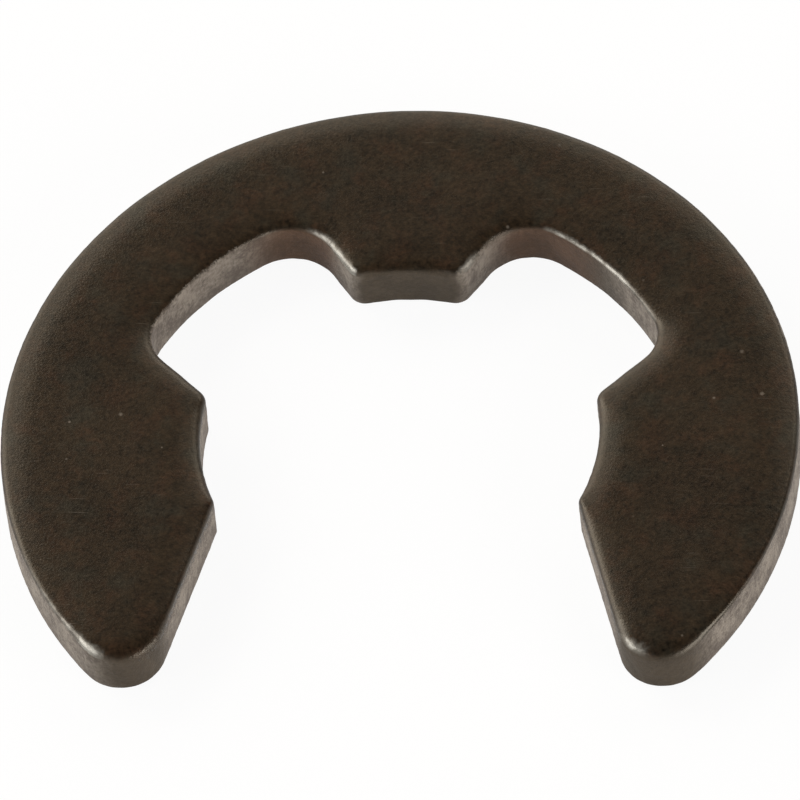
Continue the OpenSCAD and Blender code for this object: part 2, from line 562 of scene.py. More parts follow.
@dataclass
class StampedRing:
    """The whole ring as one closed skin."""

    sizes: RingSizes
    edge: StampedEdge = field(default_factory=StampedEdge)
    face_steps: int = 44
    even_share: float = 0.25
    back_steps: int = 10
    name: str = "stamped_ring"

    def build(self) -> bpy.types.Object:
        """Makes the ring's mesh and object.

        Returns:
            The object, which rides on the part's body and stands for its node.
        """
        outline = HalfOutline(self.sizes)
        rim = RimRadius(outline, self.edge)
        inner, outer = (self._edge_section(outline, s, rim) for s in Stations(outline).distances())
        skin = self._with_left_half(self._close_section(inner, outer))
        self._let_face_fall(skin, outline)
        ring = self._to_object(skin)
        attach(ring, "root")
        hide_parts(NODE)
        return ring

    def _edge_section(self, outline: HalfOutline, s: np.ndarray, rim: RimRadius) -> Skin:
        """Carries the stamped edge along part of the outline.

        Each point lies inward of the outline by the section's own distance, by the wall's roughness and by
        the fracture's setback.

        Args:
            outline: The half outline.
            s: Distances along it.
            rim: The roll along the outline.

        Returns:
            One row for each distance and one column for each point of the section, from the lower face up.
        """
        e = self.edge
        at, normal, _ = outline.at(s)
        ground = np.column_stack([at, np.zeros(len(s))])
        broken = e.break_r * (1 + e.break_unevenness * e.break_waves.at(ground))
        height, width = rim.at(s, e.roll_unevenness * e.roll_waves.at(ground))
        distance, z, lean = self._section(broken[:, None], height[:, None], width[:, None])
        ragged = 1 + e.fracture_raggedness * e.fracture_waves.at(ground)[:, None]
        top = self.sizes.sheet * e.fracture_share * ragged
        fracture = lean * (1 - smooth_step(z / top, *e.fracture_limits))
        place = np.concatenate([np.repeat(at[:, None, :], z.shape[1], axis=1), z[..., None]], axis=-1)
        rough = 0.5 + 0.5 * e.wall_waves.at(place)
        inward = distance + lean * rough * e.wall_roughness + fracture * e.fracture_setback
        place[..., :2] -= inward[..., None] * normal[:, None, :]
        return Skin(place, lean, fracture)

    def _section(self, broken: np.ndarray, height: np.ndarray, width: np.ndarray) -> tuple[np.ndarray, ...]:
        """Works out the edge's section.

        With inward distance d, height z and angle a from 0 to 90 degrees, the section is the broken edge
        d = b (1 - sin a), z = b (1 - cos a), then the wall d = 0, and then the roll, which meets the wall
        like an ellipse and runs out softly into the face: d = w (1 - cos a),
        z = sheet - r (1 - sqrt(1 - (cos a)^p)).

        Args:
            broken: The broken edge's radius b, as a column with one value for each section.
            height: The roll's height r.
            width: The roll's width w.

        Returns:
            The inward distance and the height of each point, and its lean, from 0 on a face to 1 on the wall.
        """
        e, sheet = self.edge, self.sizes.sheet
        up = np.linspace(0, math.pi / 2, e.break_steps + 1)
        over = np.linspace(0, math.pi / 2, e.roll_steps + 1)
        share = np.linspace(0, 1, e.wall_steps + 1)[1:-1]
        wall_z = broken + share * (sheet - height - broken)
        distances = [broken * (1 - np.sin(up)), np.zeros_like(wall_z), width * (1 - np.cos(over))]
        soft = np.cos(over) ** (e.roll_power - 1)
        eased = np.sqrt(1 - soft * np.cos(over))
        heights = [broken * (1 - np.cos(up)), wall_z, sheet - height * (1 - eased)]
        tilt = np.arctan2(height * soft * e.roll_power / 2, width * eased) / (math.pi / 2)
        straight = np.concatenate([np.sin(up), np.ones_like(share)]) * np.ones_like(broken)
        lean = np.concatenate([straight, np.clip(tilt, 0, 1)], axis=1)
        return np.concatenate(distances, axis=1), np.concatenate(heights, axis=1), lean

    def _close_section(self, inner: Skin, outer: Skin) -> Skin:
        """Joins the two edges across the upper and the lower face.

        A face is ruled: its points divide the straight line from one edge to the other. On the upper face
        they lie closer near the edges, at a mean of t and (1 - cos(pi t)) / 2 in which t has the even share.

        Args:
            inner: The section along the inner edge.
            outer: The section along the outer edge.

        Returns:
            The closed section, from the inner edge's foot up, across, down and back.
        """
        t = np.linspace(0, 1, self.face_steps + 1)[1:-1]
        over = self.even_share * t + (1 - self.even_share) * (0.5 - 0.5 * np.cos(math.pi * t))
        under = np.linspace(0, 1, self.back_steps + 1)[1:-1]
        inner_foot, outer_foot = (edge.changed(lambda rows: rows[:, :1]) for edge in (inner, outer))
        inner_top, outer_top = (edge.changed(lambda rows: rows[:, -1:]) for edge in (inner, outer))
        upper = Skin.ruled(inner_top, outer_top, over)
        lower = Skin.ruled(outer_foot, inner_foot, under)
        return Skin.joined([inner, upper, outer.changed(lambda rows: rows[:, ::-1]), lower], axis=1)

    @staticmethod
    def _with_left_half(right: Skin) -> Skin:
        """Adds the right half's mirror image, which shares the row in the middle.

        Args:
            right: The right half.

        Returns:
            The whole.
        """
        left = right.changed(lambda rows: rows[-2::-1].copy())
        left.place[..., 0] *= -1
        return Skin.joined([right, left], axis=0)

    def _let_face_fall(self, skin: Skin, outline: HalfOutline) -> None:
        """Lowers the upper face and the roll towards the edge.

        The fall is fall (1 - d / width)^power, where d is the mean distance to the edge. Up the wall it sets
        in smoothly between the fall's limits, as shares of the sheet. The skin also gets its rim mask.

        Args:
            skin: The whole skin, which is changed.
            outline: The half outline.
        """
        e, place = self.edge, skin.place
        plan = place[..., :2].reshape(-1, 2)
        distance = EdgeDistance(outline, e.softening).at(plan).reshape(place.shape[:2])
        depth = e.fall * np.clip(1 - distance / e.fall_width, 0, 1) ** e.fall_power
        place[..., 2] -= depth * smooth_step(place[..., 2] / self.sizes.sheet, *e.fall_limits)
        skin.rim = 1 - np.clip(distance / e.rim_width, 0, 1)

    def _to_object(self, skin: Skin) -> bpy.types.Object:
        """Puts the rows into a mesh of quads, closed round each row and welded where the arms end.

        Args:
            skin: The closed section of every row.

        Returns:
            The object, in the scene.
        """
        rows, columns = skin.lean.shape
        index = np.arange(rows * columns).reshape(rows, columns)
        ahead = np.roll(index, -1, axis=1)
        quads = np.stack([index[:-1], ahead[:-1], ahead[1:], index[1:]], axis=-1)
        mesh = bpy.data.meshes.new(self.name)
        mesh.from_pydata(skin.place.reshape(-1, 3), [], quads.reshape(-1, 4), shade_flat=False)
        for key in ("lean", "fracture", "rim"):
            mask = getattr(skin, key).astype(np.float32).ravel()
            mesh.attributes.new(key, "FLOAT", "POINT").data.foreach_set("value", mask)
        weld = bmesh.new()
        weld.from_mesh(mesh)
        bmesh.ops.remove_doubles(weld, verts=weld.verts, dist=WELD)
        weld.to_mesh(mesh)
        weld.free()
        return put_in_scene(self.name, mesh)


class EdgeDistance:
    """Distance to the whole outline as one smooth mean, for points in plan.

    The sum of step / (r^2 + e^2)^2 along a straight edge at distance d comes to (pi / 2) / (d^2 + e^2)^1.5,
    so the sum over the outline is turned back into that d. Beside an outer corner it comes out shorter, and
    in an inner corner longer, as the sheet is drawn down more or less there.
    """

    def __init__(self, outline: HalfOutline, softening: float, samples: int = 1100) -> None:
        """Lays samples along both halves of the outline.

        Args:
            outline: The half outline.
            softening: The length e, which is longer than the samples' spacing.
            samples: How many for each half.
        """
        step = outline.total / samples
        points, _, _ = outline.at((np.arange(samples) + 0.5) * step)
        self.points = np.concatenate([points, points * [-1, 1]]) / MM
        self.step = step / MM
        self.softening = softening / MM

    def at(self, points: np.ndarray, block: int = 6000) -> np.ndarray:
        """Gives the distance for points, in blocks that fit in memory.

        Args:
            points: Places in plan, in metres.
            block: How many are worked out at once.

        Returns:
            The distance for each, in metres.
        """
        found = []
        soft = self.softening**2
        for part in np.array_split(points / MM, math.ceil(len(points) / block)):
            square = ((part[:, None, :] - self.points[None, :, :]) ** 2).sum(axis=-1) + soft
            total = (self.step / square**2).sum(axis=1)
            found.append(np.sqrt(np.maximum((2 * total / math.pi) ** (-2 / 3) - soft, 0)))
        return np.concatenate(found) * MM


Socket = bpy.types.NodeSocket
Socketed = Socket | float | tuple
Inputs = dict[str | int, Socketed]
Triple = tuple[float, float, float]
VECTOR, VALUE, COLOUR = "NodeSocketVector", "NodeSocketFloat", "NodeSocketColor"


@dataclass(frozen=True)
class Ramp:
    """A smooth change of a mask from its start to its end, as a value goes between two limits."""

    low: float
    high: float
    start: float = 0.0
    end: float = 1.0


@dataclass(frozen=True)
class Spot:
    """A round place in millimetres: its centre, its radius and how far it fades outside it."""

    centre: Triple
    radius: float
    fade: float


@dataclass(frozen=True)
class Noise:
    """A noise: its scale per millimetre, its detail and roughness, and its move away from other noises."""

    scale: Socketed
    detail: float
    rough: float
    move: Triple | None = None


FALLING = Ramp(0, 1, 1, 0)


class Nodes:
    """A short way to write a node tree: each call adds a node, sets it and links its inputs."""

    def __init__(self, tree: bpy.types.NodeTree) -> None:
        """Empties the tree and keeps it."""
        tree.nodes.clear()
        self.tree = tree

    def add(self, kind: str, inputs: Inputs | None = None, **settings: object) -> bpy.types.Node:
        """Adds a node.

        Args:
            kind: The node's type.
            inputs: A value or a socket for each input, by its name or number.
            settings: The node's own properties.

        Returns:
            The node.
        """
        node = self.tree.nodes.new(kind)
        for key, value in settings.items():
            setattr(node, key, value)
        for key, value in (inputs or {}).items():
            if isinstance(value, Socket):
                self.tree.links.new(value, node.inputs[key])
            else:
                node.inputs[key].default_value = value
        return node

    def group(self, tree: bpy.types.NodeTree, inputs: Inputs) -> bpy.types.NodeOutputs:
        """Returns the outputs of a node group placed with its own values."""
        return self.add("ShaderNodeGroup", inputs, node_tree=tree).outputs

    def maths(self, operation: str, *values: Socketed) -> Socket:
        """Works from the first value on to the last with one operation.

        Args:
            operation: The operation on two values.
            values: The values, two or more.

        Returns:
            The result.
        """
        result = values[0]
        for value in values[1:]:
            result = self.add("ShaderNodeMath", {0: result, 1: value}, operation=operation).outputs[0]
        return result

    def product(self, *factors: Socketed) -> Socket:
        """Returns the product of two or more values."""
        return self.maths("MULTIPLY", *factors)

    def total(self, *terms: Socketed) -> Socket:
        """Returns the sum of two or more values."""
        return self.maths("ADD", *terms)

    def largest(self, *values: Socketed) -> Socket:
        """Returns the largest of two or more values."""
        return self.maths("MAXIMUM", *values)

    def rise(self, value: Socket, ramp: Ramp) -> Socket:
        """Returns a ramp's level at a value."""
        inputs = {0: value, 1: ramp.low, 2: ramp.high, 3: ramp.start, 4: ramp.end}
        return self.add("ShaderNodeMapRange", inputs, interpolation_type="SMOOTHSTEP").outputs[0]

    def mix(self, share: Socketed, a: Socketed, b: Socketed, blend: str = "MIX") -> Socket:
        """Returns a mix of two colours."""
        inputs = {0: share, 6: a, 7: b}
        return self.add("ShaderNodeMix", inputs, data_type="RGBA", blend_type=blend).outputs[2]

    def mix_values(self, share: Socketed, a: Socketed, b: Socketed) -> Socket:
        """Returns a mix of two values."""
        return self.add("ShaderNodeMix", {0: share, 2: a, 3: b}, data_type="FLOAT").outputs[0]

    def dimmed(self, colour: Socketed, level: Socket) -> Socket:
        """Returns a colour times a value."""
        grey = self.add("ShaderNodeCombineColor", {0: level, 1: level, 2: level}).outputs[0]
        return self.mix(1.0, colour, grey, "MULTIPLY")

    def vector(self, operation: str, a: Socketed, b: Socketed = (0, 0, 0), output: str = "Vector") -> Socket:
        """Returns the result of an operation on one or two vectors."""
        return self.add("ShaderNodeVectorMath", {0: a, 1: b}, operation=operation).outputs[output]

    def axes(self, vector: Socket) -> tuple[Socket, ...]:
        """Returns a vector's X, Y and Z."""
        return tuple(self.add("ShaderNodeSeparateXYZ", {0: vector}).outputs)

    def near(self, at: Socket, *spots: Spot) -> Socket:
        """Marks round places.

        Args:
            at: Coordinates in millimetres.
            spots: The places.

        Returns:
            A mask that is 1 in any of them.
        """
        masks = []
        for spot in spots:
            distance = self.vector("DISTANCE", at, spot.centre, "Value")
            masks.append(self.rise(distance, Ramp(spot.radius, spot.radius + spot.fade, 1, 0)))
        return self.largest(*masks)

    def mask(self, name: str) -> Socket:
        """Returns one of the mesh's own masks."""
        return self.add("ShaderNodeAttribute", attribute_name=name).outputs["Fac"]

    def mapped(
        self, at: Socket, scale: Triple = (1, 1, 1), turn: float = 0.0, move: Triple = (0, 0, 0)
    ) -> Socket:
        """Returns coordinates stretched, turned about Z by an angle in degrees, and moved."""
        inputs = {"Vector": at, "Location": move, "Rotation": (0.0, 0.0, math.radians(turn)), "Scale": scale}
        return self.add("ShaderNodeMapping", inputs).outputs["Vector"]

    def noise(self, at: Socket, kind: Noise) -> Socket:
        """Adds a noise.

        Args:
            at: Its coordinates, before its own move.
            kind: What it is like.

        Returns:
            Its value, from 0 to 1.
        """
        place = self.mapped(at, move=kind.move) if kind.move else at
        inputs = {"Vector": place, "Scale": kind.scale, "Detail": kind.detail, "Roughness": kind.rough}
        return self.add("ShaderNodeTexNoise", inputs).outputs["Fac"]

    def uneven(self, at: Socket, kind: Noise) -> Socket:
        """Returns a noise that goes from -0.5 to 0.5."""
        return self.maths("SUBTRACT", self.noise(at, kind), 0.5)


def rgba(red: float, green: float, blue: float) -> tuple[float, float, float, float]:
    """Returns an opaque linear colour."""
    return (red, green, blue, 1.0)


class Effect(Nodes):
    """A shader node group with named inputs and outputs, built once. Its first input is Coordinates."""

    def __init__(self, name: str, inputs: dict[str, Socketed], outputs: dict[str, str]) -> None:
        """Makes the group and its sockets.

        Args:
            name: The group's name.
            inputs: The usual value of each input after the coordinates: a colour or a number.
            outputs: The kind of each output.
        """
        super().__init__(bpy.data.node_groups.new(name, "ShaderNodeTree"))
        sockets = self.tree.interface
        sockets.new_socket("Coordinates", in_out="INPUT", socket_type=VECTOR)
        for key, value in inputs.items():
            kind = COLOUR if isinstance(value, tuple) else VALUE
            sockets.new_socket(key, in_out="INPUT", socket_type=kind).default_value = value
        for key, kind in outputs.items():
            sockets.new_socket(key, in_out="OUTPUT", socket_type=kind)
        self.given = self.add("NodeGroupInput").outputs
        self.at = self.given["Coordinates"]

    def give(self, **results: Socket) -> bpy.types.NodeTree:
        """Links the results to the group's outputs and returns the finished group."""
        self.add("NodeGroupOutput", results)
        return self.tree


class Effects:
    """The node groups that the finish is made of. All take coordinates in millimetres."""

    def __init__(self) -> None:
        """Builds every group once."""
        self.mottle = self._mottle()
        self.grain = self._grain()
        self.specks = self._specks()
        self.hairlines = self._hairlines()
        self.shear = self._shear()

    @staticmethod
    def _mottle() -> bpy.types.NodeTree:
        """Lays soft patches of a warmer and a greyer tone over a base colour, and a grain of light and dark.

        Returns:
            The group.
        """
        tones = dict.fromkeys(("Base", "Warm", "Grey"), rgba(0.04, 0.03, 0.02))
        n = Effect("coat_mottle", tones | {"Grain": 0.3}, {"Color": COLOUR})
        warm = n.rise(n.noise(n.at, Noise(2.2, 4, 0.6)), Ramp(0.46, 0.68))
        grey = n.rise(n.noise(n.at, Noise(1.6, 4, 0.6, (7, 3, 1))), Ramp(0.48, 0.70))
        tone = n.mix(grey, n.mix(warm, n.given["Base"], n.given["Warm"]), n.given["Grey"])
        broad = n.uneven(n.at, Noise(0.7, 2, 0.5, (5, 2, 6)))
        clumps = n.uneven(n.at, Noise(4.5, 3, 0.6, (8, 4, 1)))
        fine = n.uneven(n.at, Noise(15, 3, 0.65, (2, 9, 4)))
        spread = n.total(n.product(fine, 3.0), n.product(clumps, 1.3), broad)
        return n.give(Color=n.dimmed(tone, n.total(n.product(spread, n.given["Grain"]), 1.0)))

    @staticmethod
    def _grain() -> bpy.types.NodeTree:
        """Makes the fine crystals of a phosphate coat, as a height from 0 to 1.

        Returns:
            The group.
        """
        n = Effect("coat_grain", {"Per mm": 30.0}, {"Height": VALUE})
        scale = n.given["Per mm"]
        crystals = n.add("ShaderNodeTexVoronoi", {"Vector": n.at, "Scale": scale}).outputs["Distance"]
        return n.give(Height=n.mix_values(0.5, crystals, n.noise(n.at, Noise(scale, 3, 0.6))))

    @staticmethod
    def _specks() -> bpy.types.NodeTree:
        """Makes sparse round specks, which differ in size and level, as a mask.

        Returns:
            The group.
        """
        n = Effect("pale_specks", {"Per mm": 3.0, "Size": 0.1, "Share": 0.1}, {"Mask": VALUE})
        cells = n.add("ShaderNodeTexVoronoi", {"Vector": n.at, "Scale": n.given["Per mm"]}).outputs
        choice, spread, depth = n.add("ShaderNodeSeparateColor", {0: cells["Color"]}).outputs
        chosen = n.maths("LESS_THAN", choice, n.given["Share"])
        size = n.product(n.given["Size"], n.total(spread, 0.35))
        inside = n.rise(n.maths("DIVIDE", cells["Distance"], size), Ramp(0.3, 1.0, 1, 0))
        return n.give(Mask=n.product(inside, chosen, n.total(0.35, n.product(depth, 0.65))))

    @staticmethod
    def _hairlines() -> bpy.types.NodeTree:
        """Makes a few short fine scratches in one direction, as a mask.

        Returns:
            The group.
        """
        n = Effect("hairlines", {"Share": 0.5}, {"Mask": VALUE})
        lines = n.rise(n.noise(n.mapped(n.at, (1.6, 34, 1), 20), Noise(1.0, 1, 0.4)), Ramp(0.70, 0.78))
        patches = n.rise(n.noise(n.at, Noise(0.9, 1, 0.5, (5, 5, 5))), Ramp(0.52, 0.64))
        return n.give(Mask=n.product(lines, patches, n.given["Share"]))

    @staticmethod
    def _shear() -> bpy.types.NodeTree:
        """Makes the texture of a sheared wall: streaks along the punch's stroke, torn grain and soft patches.

        Returns:
            The group.
        """
        n = Effect("shear_marks", {}, {"Height": VALUE, "Tone": VALUE})
        streaks = n.noise(n.mapped(n.at, (16, 16, 2.2)), Noise(1.0, 3, 0.6))
        torn = n.noise(n.at, Noise(15, 4, 0.65, (4, 8, 2)))
        patch = n.noise(n.at, Noise(2.0, 4, 0.65, (1, 6, 3)))
        height = n.total(n.product(streaks, 0.3), n.product(torn, 0.7))
        return n.give(Height=height, Tone=n.total(n.product(height, 0.5), n.product(patch, 0.5)))


class RingNodes(Nodes):
    """The nodes of the ring's finish, with what they read: places in millimetres, masks and directions.

    The side is the direction in plan in which the surface faces, as a vector of length 1.
    """

    def __init__(self, tree: bpy.types.NodeTree) -> None:
        """Adds the nodes that read the ring.

        Args:
            tree: The material's node tree.
        """
        super().__init__(tree)
        read = self.add("ShaderNodeTexCoord").outputs
        self.at = self.mapped(read["Object"], (1 / MM, 1 / MM, 1 / MM))
        self.x, self.y, self.z = self.axes(self.at)
        self.lean, self.rim, self.fracture = (self.mask(key) for key in ("lean", "rim", "fracture"))
        self.facing_x = self.axes(read["Normal"])[0]
        self.side = self.vector("NORMALIZE", self.vector("MULTIPLY", read["Normal"], (1.0, 1.0, 0.0)))
        self.side_x, self.side_y, _ = self.axes(self.side)


@dataclass(frozen=True)
class Zones:
    """Masks of the finish: dark coat, partly painted shade, and bare metal on the wall; pale rubbed metal,
    partly painted highlight, and dull coat near the edge of the face.
    """

    coat_and_shade: Socket
    bare: Socket
    burnish_and_highlight: Socket
    dull: Socket


@dataclass(frozen=True)
class Wear:
    """Where the coat stays on, torn, worn and dull, and where shade and highlight are painted. Places are in
    millimetres.

    The wall is bare but for the spots of dark coat, of which the quarters' spot has a mirror image in each
    quarter.
    They are partly coat left on and partly painted shade on the walls that face -Y. Below the pockets the
    wall's upper part is coated on the mouth's right side, on the inner side of the left arm and a little on
    the outer side of the right arm. Above the grips, the sides that face +X have a torn roll: there the rough
    wall runs up to a ragged border on the face. The sides that face the worn and lit direction have a roll
    rubbed to pale metal, in patches. This is partly painted highlight: the pale metal goes only on the sides
    whose rolls mirror the left lamps, with more at a spot where the highlight is brightest and less where it
    is faint and on the outer side.
    """

    tear: Noise = Noise(16, 4, 0.7, (8, 1, 5))
    wall_tear: float = 0.25
    wall_lean: Ramp = Ramp(0.78, 0.95)
    coat_and_shade_lean: Ramp = Ramp(0.3, 1.0)
    # Spots of dark coat: partly coat left on, partly painted shade on the walls that face -Y.
    coat_and_shade_spots: tuple[Spot, ...] = (
        Spot((0.0, 2.8, 0.4), 0.68, 0.25),
        Spot((-1.6, 3.9, 0.4), 0.35, 0.9),
        Spot((1.8, 3.95, 0.4), 0.3, 0.5),
        Spot((3.9, -4.15, 0.4), 0.6, 0.6),
        Spot((2.4, 3.6, 0.4), 0.5, 1.0),
    )
    coat_and_shade_quarters: Spot = Spot((3.65, 4.15, 0.4), 0.4, 0.7)

    above_grips: Ramp = Ramp(1.2, 1.8)
    below_pockets: Ramp = Ramp(1.2, 1.8, 1, 0)
    mouth_side: Ramp = Ramp(-0.95, -0.85, 1, 0)
    mouth_half: Ramp = Ramp(0.0, 1.0)
    mouth_level: float = 0.9
    inner_side: Ramp = Ramp(0.2, 0.6)
    inner_half: Ramp = Ramp(0.0, 1.0, 1, 0.3)
    coat_foot: Ramp = Ramp(0.58, 0.78, 1, 0)

    torn_side: Ramp = Ramp(0.02, 0.22)
    border: Ramp = Ramp(0.911, 0.972)
    border_tear: float = 0.31
    # A spot of pale metal at the prong's right corner: painted highlight.
    corner: Spot = Spot((0.95, 3.08, 0.82), 0.06, 0.26)
    corner_side: Ramp = Ramp(0.3, 0.6)
    corner_level: float = 0.75
    corner_border: Ramp = Ramp(0, 1, 1, 0.1)

    # Rolls that face this way mirror the left lamps; the pale metal laid on them is partly painted highlight.
    worn_and_lit_direction: Triple = (-0.69, -0.72, 0.0)
    worn_and_lit_side: Ramp = Ramp(0.88, 0.98)
    patches: Noise = Noise(4.5, 3, 0.6, (6, 2, 9))
    patch_levels: Ramp = Ramp(0.38, 0.56, 0.35, 1.0)
    # Painted highlight: more pale metal at the prong's left corner, less in the right pocket and on the outer
    # side.
    highlight_spot: Spot = Spot((-0.9, 3.1, 0.8), 0.25, 0.5)
    faint_highlight_spot: Spot = Spot((3.6, 2.3, 0.8), 0.3, 0.4)
    faint_highlight_levels: Ramp = Ramp(0, 1, 1, 0.45)
    outer_highlight_levels: Ramp = Ramp(-5.0, -4.6, 0.5, 1.0)
    knots: Noise = Noise(8, 3, 0.6, (3, 5, 2))
    knot_share: float = 0.4
    burnish_and_highlight_lean: Ramp = Ramp(0.12, 0.42)
    least_lean: Ramp = Ramp(0.05, 0.15)

    dull_power: float = 1.4
    dull_back: Ramp = Ramp(-0.5, 0.1)
    dull_right: Ramp = Ramp(-0.3, 0.7, 1.0, 0.5)

    def zones(self, n: RingNodes) -> Zones:
        """Tells the zones of the finish.

        Args:
            n: The finish's nodes.

        Returns:
            The masks.
        """
        quarters = n.near(n.vector("ABSOLUTE", n.at), self.coat_and_shade_quarters)
        coat_and_shade = n.largest(n.near(n.at, *self.coat_and_shade_spots), quarters)
        tear = n.uneven(n.at, self.tear)
        corner = n.product(n.near(n.at, self.corner), n.rise(n.side_x, self.corner_side), self.corner_level)
        border = n.rise(n.total(n.rim, n.product(tear, self.border_tear)), self.border)
        torn_side = n.product(n.rise(n.facing_x, self.torn_side), n.rise(n.y, self.above_grips))
        torn = n.product(border, torn_side, n.rise(coat_and_shade, FALLING), n.rise(corner, self.corner_border))
        bare = n.largest(self._bare_wall(n, coat_and_shade, tear), torn)
        knotty = n.total(n.lean, n.product(n.uneven(n.at, self.knots), self.knot_share))
        reached = n.product(n.rise(knotty, self.burnish_and_highlight_lean), n.rise(n.lean, self.least_lean))
        # Pale metal on the worn and lit sides and at the corner spot: partly painted highlight.
        smooth = n.largest(self._worn_and_lit_side(n), corner)
        from_back, from_right = n.rise(n.side_y, self.dull_back), n.rise(n.side_x, self.dull_right)
        return Zones(
            coat_and_shade=coat_and_shade,
            bare=bare,
            burnish_and_highlight=n.product(reached, n.rise(bare, FALLING), smooth),
            dull=n.product(n.maths("POWER", n.rim, self.dull_power), from_back, from_right),
        )

    def _bare_wall(self, n: RingNodes, coat_and_shade: Socket, tear: Socket) -> Socket:
        """Tells where the wall is bare, up to the roll and below the coat that is left on its upper part.

        Args:
            n: The finish's nodes.
            coat_and_shade: Where the wall keeps its dark coat, partly painted shade.
            tear: The unevenness of a torn border.

        Returns:
            The mask.
        """
        worn = n.rise(n.total(n.lean, n.product(tear, self.wall_tear)), self.wall_lean)
        wall = n.mix_values(coat_and_shade, worn, n.rise(n.lean, self.coat_and_shade_lean))
        mouth = n.product(n.rise(n.side_x, self.mouth_side), n.rise(n.x, self.mouth_half), self.mouth_level)
        inner = n.product(n.rise(n.side_x, self.inner_side), n.rise(n.x, self.inner_half))
        coated = n.product(n.largest(inner, mouth), n.rise(n.y, self.below_pockets))
        return n.product(wall, n.mix_values(coated, 1.0, n.rise(n.total(n.z, tear), self.coat_foot)))

    def _worn_and_lit_side(self, n: RingNodes) -> Socket:
        """Tells how far each side is worn smooth, with painted highlight on the sides whose rolls mirror the
        left lamps.

        Args:
            n: The finish's nodes.

        Returns:
            The mask.
        """
        towards = n.vector("DOT_PRODUCT", n.side, self.worn_and_lit_direction, "Value")
        patches = n.rise(n.noise(n.at, self.patches), self.patch_levels)
        bright = n.largest(patches, n.near(n.at, self.highlight_spot))
        faded = n.product(bright, n.rise(n.near(n.at, self.faint_highlight_spot), self.faint_highlight_levels))
        return n.product(n.rise(towards, self.worn_and_lit_side), faded, n.rise(n.x, self.outer_highlight_levels))


